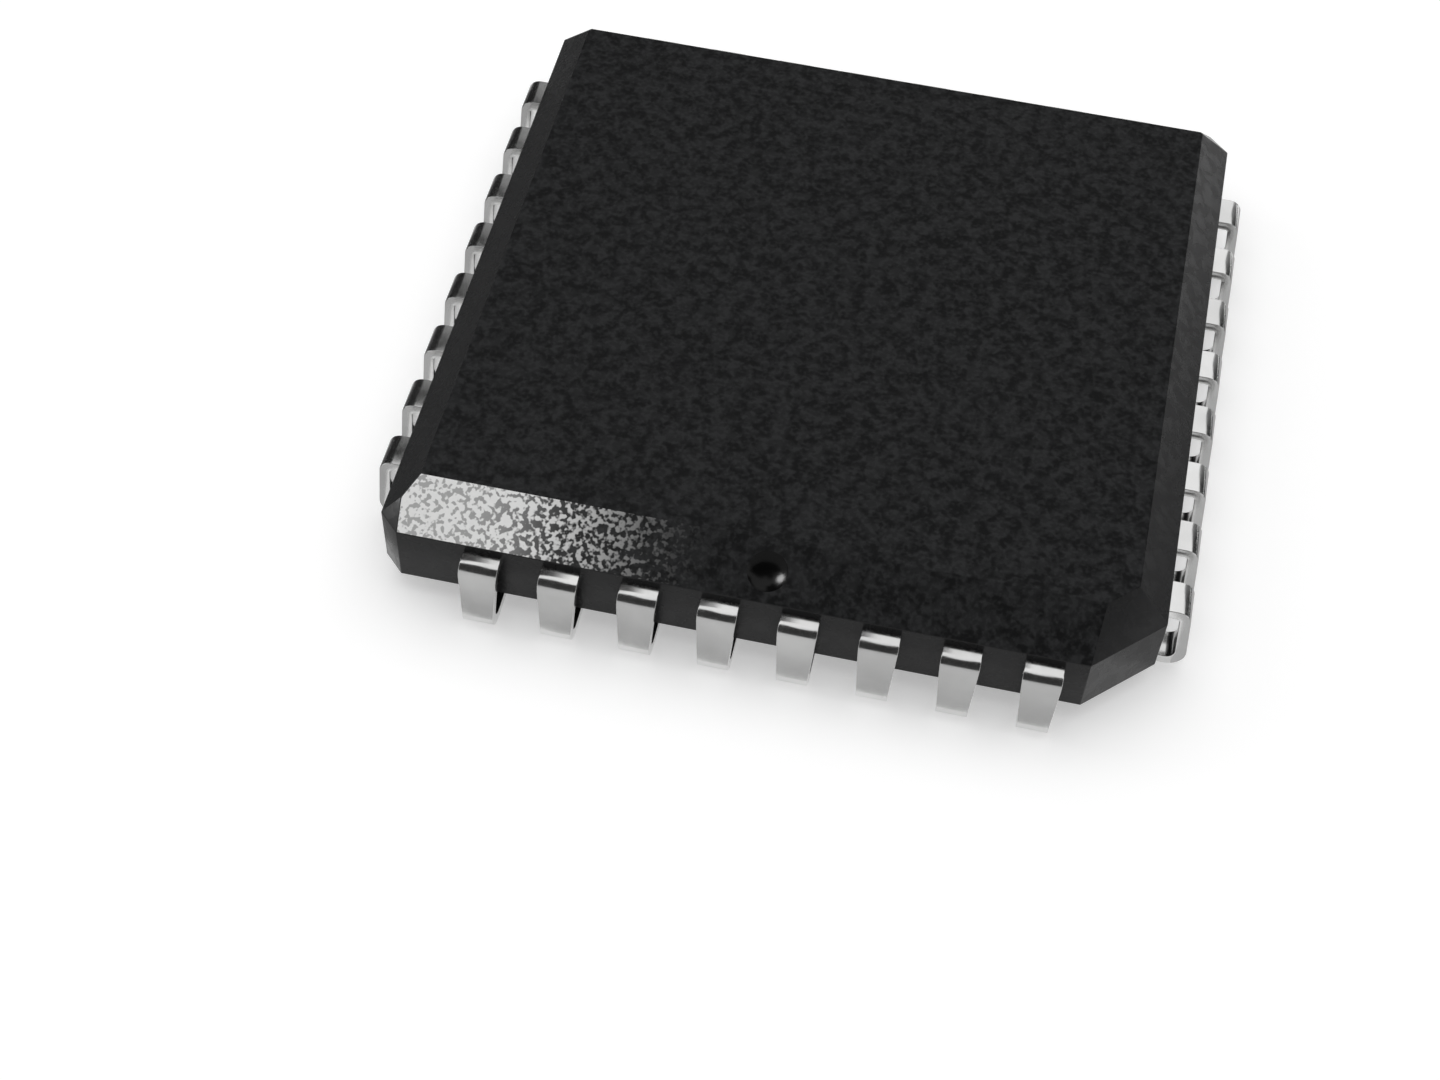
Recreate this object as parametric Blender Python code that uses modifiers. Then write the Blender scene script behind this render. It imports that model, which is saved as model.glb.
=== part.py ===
"""A plastic chip carrier with J-shaped leads on each side, an exposed pad and a pin 1 bevel."""

import math

import bmesh
import bpy
from mathutils import Matrix, Vector
from mathutils.geometry import interpolate_bezier

MM = 0.001

# Moulded body: the parting line is the widest outline, between a near-straight wall and a sloped top
BODY_WIDTH = 12.38 * MM
BODY_STANDOFF = 0.46 * MM
WALL_HEIGHT = 1.06 * MM
WALL_DRAFT = 0.02 * MM
SLOPE_HEIGHT = 0.54 * MM
SLOPE_RUN = 0.54 * MM
PIN_1_BEVEL_RUN = 0.84 * MM
LARGE_CORNER_CUT = 1.07 * MM
SMALL_CORNER_CUT = 0.35 * MM
DIMPLE_DIAMETER = 0.64 * MM
DIMPLE_DEPTH = 0.13 * MM

# Leads: a strip that leaves the wall, bends down into a leg and curls under into a foot. A side takes as
# many as its width holds at the pitch, with at least the corner room beside the middle of the last one.
LEAD_PITCH = 1.27 * MM
CORNER_ROOM = 1.6 * MM
LEAD_REACH = 0.46 * MM
LEAD_THICKNESS = 0.18 * MM
LEAD_BELOW_PARTING = 0.12 * MM
SHOULDER_WIDTH = 0.62 * MM
FOOT_WIDTH = 0.51 * MM
SHOULDER_INNER_RADIUS = 0.05 * MM
HEEL_INNER_RADIUS = 0.15 * MM
TIP_INNER_RADIUS = 0.1 * MM
LEG_LEAN = math.radians(5)
TIP_CURL = math.radians(50)
FOOT_FLAT = 0.66 * MM
TIP_STRAIGHT = 0.05 * MM

# Inner fingers: the anchored end of each lead, with a neck that flares into a dovetail for the plastic to
# grip. They reach in as far as the gap between the last fingers of two sides allows.
FINGER_GAP = 0.175 * MM
NECK_START = 0.24 * MM
NECK_WIDTH = 0.42 * MM
FLARE_LENGTH = 0.3 * MM
DOVETAIL_LENGTH = 0.29 * MM
DOVETAIL_WIDTH = 0.76 * MM

# Exposed pad, with a rim above its face that the plastic holds, and the die glued on it
PAD_WIDTH = 6.2 * MM
PAD_CORNER_CUT = 1.27 * MM
PAD_THICKNESS = 0.2 * MM
PAD_RIM = 0.1 * MM
PAD_RIM_THICKNESS = 0.1 * MM
DIE_WIDTH = 4.0 * MM
DIE_THICKNESS = 0.3 * MM
ATTACH_THICKNESS = 0.04 * MM

# Bond wires: from the die's rim up over a loop and down along the inner end of each finger
WIRE_DIAMETER = 0.05 * MM
WIRE_LOOP = 0.55 * MM
WIRE_LANDING = 0.15 * MM
BOND_INSET = 0.15 * MM
BOND_CORNER_ROOM = 0.4 * MM

# Clearance between a metal or silicon piece and the plastic round it, or the piece under it
CLEARANCE = 0.015 * MM

# Points of a mesh that lie closer together than this are one
SAME_POINT = 0.0001 * MM

# How round the curved stretches are
SHOULDER_STEPS = 5
HEEL_STEPS = 7
TIP_STEPS = 4
DIMPLE_SEGMENTS = 32
DIMPLE_RINGS = 24
WIRE_RISE_STEPS = 3
WIRE_FALL_STEPS = 3
WIRE_BEVEL_STEPS = 1

# Counts and lengths that follow from the sizes above
LEADS_PER_SIDE = math.floor((BODY_WIDTH - 2 * CORNER_ROOM) / LEAD_PITCH) + 1
LEAD_SPAN = BODY_WIDTH + 2 * LEAD_REACH
ROW_LENGTH = (LEADS_PER_SIDE - 1) * LEAD_PITCH
FINGER_LENGTH = (BODY_WIDTH - ROW_LENGTH - DOVETAIL_WIDTH) / 2 - FINGER_GAP
BOND_PITCH = (DIE_WIDTH - 2 * BOND_CORNER_ROOM) / (LEADS_PER_SIDE - 1)

# Heights above the board that follow from the sizes above
BODY_BOTTOM = BODY_STANDOFF
PARTING_Z = BODY_BOTTOM + WALL_HEIGHT
BODY_TOP = PARTING_Z + SLOPE_HEIGHT
LEAD_TOP = PARTING_Z - LEAD_BELOW_PARTING
PAD_TOP = BODY_BOTTOM + PAD_THICKNESS
ATTACH_BOTTOM = PAD_TOP + CLEARANCE
ATTACH_TOP = ATTACH_BOTTOM + ATTACH_THICKNESS
DIE_BOTTOM = ATTACH_TOP + CLEARANCE
DIE_TOP = DIE_BOTTOM + DIE_THICKNESS

# Directions seen from above, as angles from +X
RIGHT, BACK, LEFT, FRONT = (math.radians(angle) for angle in (0, 90, 180, 270))


def clear_scene():
    for obj in list(bpy.data.objects):
        bpy.data.objects.remove(obj, do_unlink=True)


def new_collection(name):
    collection = bpy.data.collections.new(name)
    bpy.context.scene.collection.children.link(collection)
    return collection


def new_material(name, colour, roughness, metallic):
    material = bpy.data.materials.new(name)
    material.use_nodes = True
    shader = material.node_tree.nodes["Principled BSDF"]
    shader.inputs["Base Color"].default_value = (*colour, 1)
    shader.inputs["Roughness"].default_value = roughness
    shader.inputs["Metallic"].default_value = metallic
    return material


def new_object(name, bm, collection, material=None):
    """The bmesh as a named object, with its normals facing out."""
    bmesh.ops.recalc_face_normals(bm, faces=bm.faces)
    mesh = bpy.data.meshes.new(name)
    bm.to_mesh(mesh)
    bm.free()
    if material:
        mesh.materials.append(material)
    obj = bpy.data.objects.new(name, mesh)
    collection.objects.link(obj)
    return obj


def as_cutter(obj):
    obj.hide_render = True
    obj.display_type = "WIRE"
    return obj


def add_boolean(obj, operation, other):
    modifier = obj.modifiers.new(other.name, "BOOLEAN")
    modifier.operation = operation
    modifier.solver = "EXACT"
    modifier.object = other


def slice_off(bm, point, normal):
    """Removes what lies beyond the plane, on the side its normal points to, and closes the cut."""
    geometry = bm.verts[:] + bm.edges[:] + bm.faces[:]
    cut = bmesh.ops.bisect_plane(
        bm, geom=geometry, plane_co=point, plane_no=normal, clear_outer=True
    )
    edges = [item for item in cut["geom_cut"] if isinstance(item, bmesh.types.BMEdge)]
    bmesh.ops.holes_fill(bm, edges=edges)


def add_prism(bm, outline, bottom, top):
    """A flat outline of (x, y) corners, extruded from one height to another."""
    face = bm.faces.new([bm.verts.new((x, y, bottom)) for x, y in outline])
    extruded = bmesh.ops.extrude_face_region(bm, geom=[face])
    raised = [item for item in extruded["geom"] if isinstance(item, bmesh.types.BMVert)]
    bmesh.ops.translate(bm, verts=raised, vec=(0, 0, top - bottom))


def prism(name, outline, bottom, top, collection, material=None):
    bm = bmesh.new()
    add_prism(bm, outline, bottom, top)
    return new_object(name, bm, collection, material)


def square(width):
    half = width / 2
    return [(-half, -half), (half, -half), (half, half), (-half, half)]


def pad_outline(margin):
    """The pad's square with its cut corner, grown all round by a margin."""
    half = PAD_WIDTH / 2 + margin
    cut = PAD_CORNER_CUT + margin * (2 - math.sqrt(2))
    return [(cut - half, -half), (half, -half), (half, half), (-half, half), (-half, cut - half)]


def cut_body_side(bm, angle, reach, run):
    """Shapes one side: a wall that draws in below the parting line and a slope that draws in above it."""
    outward = Vector((math.cos(angle), math.sin(angle), 0))
    edge = outward * reach + Vector((0, 0, PARTING_Z))
    slice_off(bm, edge, outward * WALL_HEIGHT - Vector((0, 0, WALL_DRAFT)))
    slice_off(bm, edge, outward * SLOPE_HEIGHT + Vector((0, 0, run)))


def corner_reach(cut):
    """How far from the middle a corner's flat lies, when it takes this much off both sides."""
    return (BODY_WIDTH - cut) / math.sqrt(2)


def make_body_blank():
    bm = bmesh.new()
    bmesh.ops.create_cube(bm, size=1)
    height = BODY_TOP - BODY_BOTTOM
    bmesh.ops.scale(bm, vec=(BODY_WIDTH, BODY_WIDTH, height), verts=bm.verts)
    bmesh.ops.translate(bm, vec=(0, 0, BODY_BOTTOM + height / 2), verts=bm.verts)
    for angle in (RIGHT, BACK, LEFT):
        cut_body_side(bm, angle, BODY_WIDTH / 2, SLOPE_RUN)
    cut_body_side(bm, FRONT, BODY_WIDTH / 2, PIN_1_BEVEL_RUN)
    for angle in (RIGHT, BACK, LEFT):
        cut_body_side(bm, angle + math.radians(45), corner_reach(SMALL_CORNER_CUT), SLOPE_RUN)
    cut_body_side(bm, FRONT + math.radians(45), corner_reach(LARGE_CORNER_CUT), SLOPE_RUN)
    return bm


def finger_widths():
    """(depth into the body, width) along a lead's inner finger, from the wall inward."""
    dovetail_start = FINGER_LENGTH - DOVETAIL_LENGTH
    return [
        (0, SHOULDER_WIDTH),
        (NECK_START, SHOULDER_WIDTH),
        (NECK_START + (SHOULDER_WIDTH - NECK_WIDTH) / 2, NECK_WIDTH),
        (dovetail_start - FLARE_LENGTH, NECK_WIDTH),
        (dovetail_start, DOVETAIL_WIDTH),
        (FINGER_LENGTH, DOVETAIL_WIDTH),
    ]


def lead_places():
    """(number, angle of the side, steps from the side's middle) of each lead.

    They are counted anticlockwise from above, from the middle of the dimple's side.
    """
    half = LEADS_PER_SIDE // 2
    places = []
    for side, angle in enumerate((FRONT, RIGHT, BACK, LEFT)):
        for index in range(LEADS_PER_SIDE):
            number = (side * LEADS_PER_SIDE + index - half) % (4 * LEADS_PER_SIDE) + 1
            places.append((number, angle, index - (LEADS_PER_SIDE - 1) / 2))
    return places


def lead_turn(angle, steps):
    """Carries a lead that points along +X to its place on its side."""
    return Matrix.Rotation(angle, 4, "Z") @ Matrix.Translation((0, steps * LEAD_PITCH, 0))


def make_slot_cutter(collection):
    """One slot for each finger, with the clearance all round, open through the wall."""
    wall = BODY_WIDTH / 2
    widths = finger_widths()
    side = [(wall - depth, width / 2 + CLEARANCE) for depth, width in widths]
    side[0] = (wall + CLEARANCE, SHOULDER_WIDTH / 2 + CLEARANCE)
    side[-1] = (wall - FINGER_LENGTH - CLEARANCE, DOVETAIL_WIDTH / 2 + CLEARANCE)
    outline = side + [(x, -y) for x, y in reversed(side)]
    bottom = LEAD_TOP - LEAD_THICKNESS - CLEARANCE
    bm = bmesh.new()
    for _, angle, steps in lead_places():
        first = len(bm.verts)
        add_prism(bm, outline, bottom, LEAD_TOP + CLEARANCE)
        bm.verts.ensure_lookup_table()
        bmesh.ops.transform(bm, matrix=lead_turn(angle, steps), verts=bm.verts[first:])
    return as_cutter(new_object("finger_slots", bm, collection))


def make_pocket_cutters(collection):
    """The opening for the pad's face, the wider seat of its rim and the room for the glue and the die."""
    below = BODY_BOTTOM - CLEARANCE
    rim_bottom = PAD_TOP - PAD_RIM_THICKNESS - CLEARANCE
    roof = PAD_TOP + CLEARANCE
    face = prism("pad_opening", pad_outline(CLEARANCE), below, roof, collection)
    rim = prism("pad_rim_seat", pad_outline(PAD_RIM + CLEARANCE), rim_bottom, roof, collection)
    room = prism("die_room", square(DIE_WIDTH + 2 * CLEARANCE), PAD_TOP, DIE_TOP + CLEARANCE, collection)
    return [as_cutter(cutter) for cutter in (face, rim, room)]


def wire_route(steps, extra_length):
    """One bond wire's points on the +X side: up out of the die, over the loop and down along its finger."""
    radius = WIRE_DIAMETER / 2
    up = Vector((0, 0, 1))
    bond = Vector((DIE_WIDTH / 2 - BOND_INSET, steps * BOND_PITCH, DIE_TOP))
    finger_end = BODY_WIDTH / 2 - FINGER_LENGTH
    landing = Vector((finger_end + WIRE_LANDING, steps * LEAD_PITCH, LEAD_TOP + CLEARANCE + radius))
    run = Vector((landing.x - bond.x, landing.y - bond.y, 0))
    along = run.normalized()
    crest = bond + (up + along) * WIRE_LOOP
    half_loop = WIRE_LOOP / 2
    third = along * (run.length - WIRE_LOOP) / 3
    rise = interpolate_bezier(
        bond - up * radius, bond + up * half_loop, crest - along * half_loop, crest, WIRE_RISE_STEPS + 1
    )
    fall = interpolate_bezier(crest, crest + third, landing - third, landing, WIRE_FALL_STEPS + 1)
    fall[-1] += along * extra_length
    return rise + fall[1:]


def make_wire_mesh(name, radius, extra_length, collection):
    """Every bond wire as one mesh of closed tubes."""
    curve = bpy.data.curves.new(name, "CURVE")
    curve.dimensions = "3D"
    curve.bevel_depth = radius
    curve.bevel_resolution = WIRE_BEVEL_STEPS
    curve.use_fill_caps = True
    for _, angle, steps in lead_places():
        turn = Matrix.Rotation(angle, 3, "Z")
        route = wire_route(steps, extra_length)
        spline = curve.splines.new("POLY")
        spline.points.add(len(route) - 1)
        for point, place in zip(spline.points, route):
            point.co = (*(turn @ place), 1)
    wires = bpy.data.objects.new(name, curve)
    collection.objects.link(wires)
    graph = bpy.context.evaluated_depsgraph_get()
    tubes = bpy.data.meshes.new_from_object(wires.evaluated_get(graph))
    bm = bmesh.new()
    bm.from_mesh(tubes)
    bmesh.ops.remove_doubles(bm, verts=bm.verts, dist=SAME_POINT)
    mesh_object = new_object(name, bm, collection)
    mesh_object.matrix_world = wires.matrix_world
    bpy.data.objects.remove(wires, do_unlink=True)
    return mesh_object


def make_dimple_cutter(collection):
    """A ball that sinks a shallow round dimple in the middle of the pin 1 bevel."""
    rim = DIMPLE_DIAMETER / 2
    radius = (rim**2 + DIMPLE_DEPTH**2) / (2 * DIMPLE_DEPTH)
    normal = Vector((0, -SLOPE_HEIGHT, PIN_1_BEVEL_RUN)).normalized()
    middle = Vector((0, (PIN_1_BEVEL_RUN - BODY_WIDTH) / 2, PARTING_Z + SLOPE_HEIGHT / 2))
    centre = middle + normal * (radius - DIMPLE_DEPTH)
    bm = bmesh.new()
    bmesh.ops.create_uvsphere(
        bm,
        u_segments=DIMPLE_SEGMENTS,
        v_segments=DIMPLE_RINGS,
        radius=radius,
        matrix=Matrix.Translation(centre) @ normal.to_track_quat("Z", "Y").to_matrix().to_4x4(),
    )
    return as_cutter(new_object("pin_1_dimple", bm, collection))


def make_body(parts, cutters, material):
    body = new_object("package_body", make_body_blank(), parts, material)
    for cutter in make_pocket_cutters(cutters):
        add_boolean(body, "DIFFERENCE", cutter)
    channels = make_wire_mesh("wire_channels", WIRE_DIAMETER / 2 + CLEARANCE, CLEARANCE, cutters)
    add_boolean(body, "DIFFERENCE", make_slot_cutter(cutters))
    add_boolean(body, "DIFFERENCE", as_cutter(channels))
    add_boolean(body, "DIFFERENCE", make_dimple_cutter(cutters))


def make_pad(parts, cutters, material):
    pad = prism("die_pad", pad_outline(0), BODY_BOTTOM, PAD_TOP, parts, material)
    rim = prism("pad_rim", pad_outline(PAD_RIM), PAD_TOP - PAD_RIM_THICKNESS, PAD_TOP, cutters)
    add_boolean(pad, "UNION", as_cutter(rim))


def make_die(parts, cutters, material):
    """The die with its bond wires, which are one piece with it."""
    die = prism("die", square(DIE_WIDTH), DIE_BOTTOM, DIE_TOP, parts, material)
    wires = make_wire_mesh("bond_wires", WIRE_DIAMETER / 2, 0, cutters)
    add_boolean(die, "UNION", as_cutter(wires))


class Strip:
    """The outer face of a bent strip, as stations of (reach, height, width) laid one after another."""

    def __init__(self, reach, height, width):
        self.place = Vector((reach, height))
        self.heading = 0.0
        self.stations = [(reach, height, width)]

    def mark(self, width):
        self.stations.append((self.place.x, self.place.y, width))

    def straight(self, length, width):
        self.place += length * Vector((math.cos(self.heading), math.sin(self.heading)))
        self.mark(width)

    def bend(self, radius, angle, steps, width):
        """Turns down and under by an angle, with this radius on the outer face."""
        step = angle / steps
        chord = 2 * radius * math.sin(step / 2)
        for _ in range(steps):
            self.heading -= step / 2
            self.place += chord * Vector((math.cos(self.heading), math.sin(self.heading)))
            self.heading -= step / 2
            self.mark(width)


def lead_strip():
    """The stations of one lead that points along +X, from its inner end to its tip."""
    shoulder = SHOULDER_INNER_RADIUS + LEAD_THICKNESS
    heel = HEEL_INNER_RADIUS + LEAD_THICKNESS
    shoulder_drop = shoulder * (1 - math.sin(LEG_LEAN))
    heel_drop = heel * (1 + math.sin(LEG_LEAN))
    leg = (LEAD_TOP - shoulder_drop - heel_drop) / math.cos(LEG_LEAN)
    bend_reach = (shoulder * math.cos(LEG_LEAN) + leg * math.sin(LEG_LEAN)
                  + heel * (1 - math.cos(LEG_LEAN)))
    shoulder_start = LEAD_SPAN / 2 - bend_reach
    wall = BODY_WIDTH / 2

    strip = Strip(wall - FINGER_LENGTH, LEAD_TOP, DOVETAIL_WIDTH)
    fingers = list(reversed(finger_widths()))
    for (depth, _), (next_depth, next_width) in zip(fingers, fingers[1:]):
        strip.straight(depth - next_depth, next_width)
    strip.straight(shoulder_start - wall, SHOULDER_WIDTH)
    strip.bend(shoulder, math.pi / 2 - LEG_LEAN, SHOULDER_STEPS, SHOULDER_WIDTH)
    strip.straight(leg, FOOT_WIDTH)
    strip.bend(heel, math.pi / 2 + LEG_LEAN, HEEL_STEPS, FOOT_WIDTH)
    strip.straight(FOOT_FLAT, FOOT_WIDTH)
    strip.bend(TIP_INNER_RADIUS + LEAD_THICKNESS, TIP_CURL, TIP_STEPS, FOOT_WIDTH)
    strip.straight(TIP_STRAIGHT, FOOT_WIDTH)
    return strip.stations


def make_lead_mesh(material):
    """The strip's outer face as a ribbon, to be thickened inward by a Solidify modifier."""
    bm = bmesh.new()
    rows = [
        [bm.verts.new((reach, side * width / 2, height)) for side in (-1, 1)]
        for reach, height, width in lead_strip()
    ]
    for (near_a, near_b), (far_a, far_b) in zip(rows, rows[1:]):
        bm.faces.new((near_a, far_a, far_b, near_b))
    mesh = bpy.data.meshes.new("lead")
    bm.to_mesh(mesh)
    bm.free()
    mesh.materials.append(material)
    return mesh


def make_leads(parts, material):
    mesh = make_lead_mesh(material)
    for number, angle, steps in lead_places():
        lead = bpy.data.objects.new(f"lead_{number:02d}", mesh)
        lead.matrix_world = lead_turn(angle, steps)
        parts.objects.link(lead)
        solid = lead.modifiers.new("Thickness", "SOLIDIFY")
        solid.thickness = LEAD_THICKNESS
        solid.offset = -1
        solid.use_even_offset = True


def main():
    clear_scene()
    parts = new_collection("plcc_chip")
    cutters = new_collection("cutters")
    plastic = new_material("Moulded epoxy", (0.021, 0.022, 0.023), 0.55, 0.0)
    tin = new_material("Tin-plated copper", (0.62, 0.62, 0.61), 0.22, 1.0)
    bare = new_material("Polished pad metal", (0.7, 0.71, 0.72), 0.12, 1.0)
    glue = new_material("Silver-filled adhesive", (0.45, 0.44, 0.42), 0.5, 0.4)
    silicon = new_material("Silicon", (0.12, 0.13, 0.16), 0.2, 0.3)
    make_body(parts, cutters, plastic)
    make_pad(parts, cutters, bare)
    prism("die_attach", square(DIE_WIDTH), ATTACH_BOTTOM, ATTACH_TOP, parts, glue)
    make_die(parts, cutters, silicon)
    make_leads(parts, tin)


main()
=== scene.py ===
"""Looks of a plastic chip carrier: its moulding, its plated leads, its pad and the studio round it."""

import math

import bmesh
import bpy
from bpy.props import FloatProperty, FloatVectorProperty, IntProperty, PointerProperty
from mathutils import Matrix, Vector


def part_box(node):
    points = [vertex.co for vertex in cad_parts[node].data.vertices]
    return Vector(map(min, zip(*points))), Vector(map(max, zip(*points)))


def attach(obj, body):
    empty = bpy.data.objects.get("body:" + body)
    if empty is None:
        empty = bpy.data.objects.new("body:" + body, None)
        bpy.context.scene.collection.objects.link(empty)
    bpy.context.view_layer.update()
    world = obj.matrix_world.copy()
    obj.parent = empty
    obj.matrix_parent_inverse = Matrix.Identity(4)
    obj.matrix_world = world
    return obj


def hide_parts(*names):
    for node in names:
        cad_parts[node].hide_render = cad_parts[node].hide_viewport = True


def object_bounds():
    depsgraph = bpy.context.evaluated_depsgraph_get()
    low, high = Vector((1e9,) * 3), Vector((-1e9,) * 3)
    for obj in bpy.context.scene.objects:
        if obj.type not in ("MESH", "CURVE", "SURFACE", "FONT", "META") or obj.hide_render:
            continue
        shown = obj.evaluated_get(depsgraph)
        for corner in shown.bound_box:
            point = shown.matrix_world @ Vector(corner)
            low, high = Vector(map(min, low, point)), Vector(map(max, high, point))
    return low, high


bl_info = {
    "name": "Plastic Chip Carrier",
    "version": (1, 0, 0),
    "blender": (4, 5, 0),
    "location": "View3D > Sidebar > Chip",
    "description": "Dresses a J-lead chip carrier with its moulding, leads and pad",
    "category": "Object",
}

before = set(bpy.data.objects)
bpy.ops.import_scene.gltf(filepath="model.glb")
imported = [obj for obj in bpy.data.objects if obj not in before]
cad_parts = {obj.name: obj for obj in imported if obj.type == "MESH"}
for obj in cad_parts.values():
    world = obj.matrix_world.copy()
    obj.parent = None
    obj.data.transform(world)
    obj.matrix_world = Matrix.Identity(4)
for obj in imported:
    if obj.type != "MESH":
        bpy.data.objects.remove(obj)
CAD_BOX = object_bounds()

MM = 0.001
BODY_LOW, BODY_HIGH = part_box("package_body")
PAD_LOW, PAD_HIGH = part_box("die_pad")
DIE_LOW, DIE_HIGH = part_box("die")
LEAD_NODES = sorted(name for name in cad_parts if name.startswith("lead_"))
SIDES = 4
ROOT = "root"
WHITE = (1, 1, 1, 1)
BLACK = (0, 0, 0, 1)

SAME_POINT = 1e-7
FLAT_ANGLE = math.radians(0.5)
BODY_SHARP_ANGLE = math.radians(32)
LEAD_SHARP_ANGLE = math.radians(60)
ROUNDING_STEPS = 4
BALL_STEPS = 96
BEND_STEPS = 14
STRIP_EDGE_STEPS = 3

BLOTCH_SCALE = 4300.0
GRAIN_SCALE = 12000.0
GRAIN_DEPTH = 0.02 * MM
# Scale and reach along x of the speckled highlight painted on the pin 1 bevel
HIGHLIGHT_SPECK_SCALE = 12500.0
PAINTED_HIGHLIGHT_START = -5.8 * MM
PAINTED_HIGHLIGHT_END = -0.4 * MM
PLATING_CLOUD_SCALE = 700.0
PLATING_GRAIN_SCALE = 9000.0
PLATING_DEPTH = 0.002 * MM

LEAD_CORNERS = ("Wall End", "Shoulder Corner", "Heel Corner", "Tip Corner", "Tip End")
LEAD_RADII = ("Shoulder Radius", "Heel Radius", "Tip Radius")
LEAD_LENGTHS = (
    "Thickness", "Shoulder Width", "Foot Width", "Edge Radius", "Taper Low", "Taper High", "Pitch",
)

CAMERA_PLACE = (3.154 * MM, -29.356 * MM, 32.24 * MM)
CAMERA_FORWARD = (-0.1025, 0.6160, -0.7810)
CAMERA_RIGHT = (0.9772, 0.2091, 0.0367)
CARD_DISTANCE = 0.15
CARD_REACH = 90 * MM
CARD_LIFT = 0.02 * MM
CARD_STEPS = 12


def length(name, description, default, **more):
    return FloatProperty(name=name, description=description, default=default, min=0, unit="LENGTH", **more)


def share(name, description, default):
    return FloatProperty(name=name, description=description, default=default, min=0, max=1, subtype="FACTOR")


def colour(name, description, default):
    return FloatVectorProperty(
        name=name, description=description, default=default, size=3, min=0, max=1, subtype="COLOR"
    )


class ChipMoulding(bpy.types.PropertyGroup):
    """Sizes and finish of the moulded body, with the highlight painted on its bevel and the shade painted in
    its dimple.
    """

    wall_height: length("Wall Height", "From the underside to the parting line", 1.06 * MM)
    wall_draft: length("Wall Draft", "How far the wall draws in at the underside", 0.02 * MM)
    slope_run: length("Slope Run", "How far the upper slope draws in", 0.54 * MM)
    bevel_run: length("Pin 1 Bevel Run", "How far the slope beside pin 1 draws in", 0.84 * MM)
    large_cut: length("Large Corner Cut", "What the odd corner loses along each side", 1.07 * MM)
    small_cut: length("Small Corner Cut", "What the other corners lose along each side", 0.35 * MM)
    edge_radius: length("Edge Radius", "Rounding of the moulded edges", 0.012 * MM)
    dimple_diameter: length("Dimple Diameter", "Rim of the pin 1 dimple", 0.64 * MM)
    dimple_depth: length("Dimple Depth", "Depth of the pin 1 dimple", 0.13 * MM)
    pad_cut: length("Pad Corner Cut", "What the pad's odd corner loses along each side", 1.27 * MM)
    pad_rim: length("Pad Rim", "How far the pad's buried rim stands out", 0.1 * MM)
    clearance: length("Clearance", "Gap round the buried pieces", 0.015 * MM)
    dark: colour("Dark", "Colour of the dark blotches", (0.0052, 0.0054, 0.0057))
    light: colour("Light", "Colour of the light blotches", (0.0232, 0.0237, 0.0246))
    side: colour("Side", "Colour of the smoother walls and slopes", (0.0185, 0.0186, 0.019))
    # The dimple's dark colour is painted shade of the recess; its smoother finish is real
    dimple: colour("Dimple", "Colour inside the dimple", (0.002, 0.002, 0.002))
    # The bevel's bright colour is a painted highlight, in specks
    painted_highlight_speck: colour("Painted Highlight", "Colour of the highlight painted on the bevel", (0.86, 0.86, 0.855))


class ChipLeads(bpy.types.PropertyGroup):
    """Sizes and finish of the leads."""

    per_side: IntProperty(name="Per Side", description="Leads on each side", default=8, min=1)
    pitch: length("Pitch", "From one lead to the next", 1.27 * MM)
    thickness: length("Thickness", "Thickness of the strip", 0.18 * MM)
    shoulder_width: length("Shoulder Width", "Width where a lead leaves the wall", 0.62 * MM)
    foot_width: length("Foot Width", "Width of the foot", 0.51 * MM)
    top: length("Top", "Height of a lead's top face over the board", 1.40 * MM)
    shoulder_radius: length("Shoulder Radius", "Inner radius of the first bend", 0.05 * MM)
    heel_radius: length("Heel Radius", "Inner radius of the bend into the foot", 0.15 * MM)
    tip_radius: length("Tip Radius", "Inner radius of the curl at the tip", 0.1 * MM)
    foot_flat: length("Foot Flat", "Flat length of the foot", 0.66 * MM)
    tip_straight: length("Tip Straight", "Straight end of the tip", 0.05 * MM)
    buried: length("Buried", "How far a lead runs on inside the wall", 0.24 * MM)
    edge_radius: length("Edge Radius", "Rounding of the strip's long edges", 0.014 * MM)
    lean: FloatProperty(
        name="Leg Lean", description="How far the leg leans out", default=math.radians(5), subtype="ANGLE"
    )
    curl: FloatProperty(
        name="Tip Curl", description="How far the tip curls up", default=math.radians(50), subtype="ANGLE"
    )
    plating: colour("Plating", "Colour of the tin plating", (0.78, 0.78, 0.775))
    roughness: share("Roughness", "Roughness of the plating", 0.17)


class ChipInside(bpy.types.PropertyGroup):
    """Finish of the pad, and of what the moulding covers."""

    polish: colour("Polish", "Colour of the polished pad", (0.82, 0.825, 0.83))
    roughness: share("Roughness", "Roughness of the polished pad", 0.07)
    silicon_dark: colour("Silicon Dark", "Darker tone of the silicon", (0.1, 0.11, 0.13))
    silicon_light: colour("Silicon Light", "Lighter tone of the silicon", (0.16, 0.17, 0.2))
    glue_dark: colour("Adhesive Dark", "Darker tone of the adhesive", (0.36, 0.35, 0.33))
    glue_light: colour("Adhesive Light", "Lighter tone of the adhesive", (0.5, 0.49, 0.46))


class ChipStage(bpy.types.PropertyGroup):
    """The floor, the lights and the camera."""

    floor: colour("Floor", "Colour of the floor", (0.8, 0.8, 0.8))
    ambient: FloatProperty(name="Ambient", description="Light from all round", default=0.45, min=0)
    key: FloatProperty(name="Key", description="Brightness of the large lamp overhead", default=1.0, min=0)
    side: FloatProperty(name="Side", description="Brightness of the lamp at the left", default=1.4, min=0)
    spark: FloatProperty(
        name="Spark", description="Brightness of the lamp that only glints show", default=20.0, min=0
    )
    focal: FloatProperty(name="Focal Length", description="Lens in millimetres", default=62.585, min=1)


# Plain helpers for meshes


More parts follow.
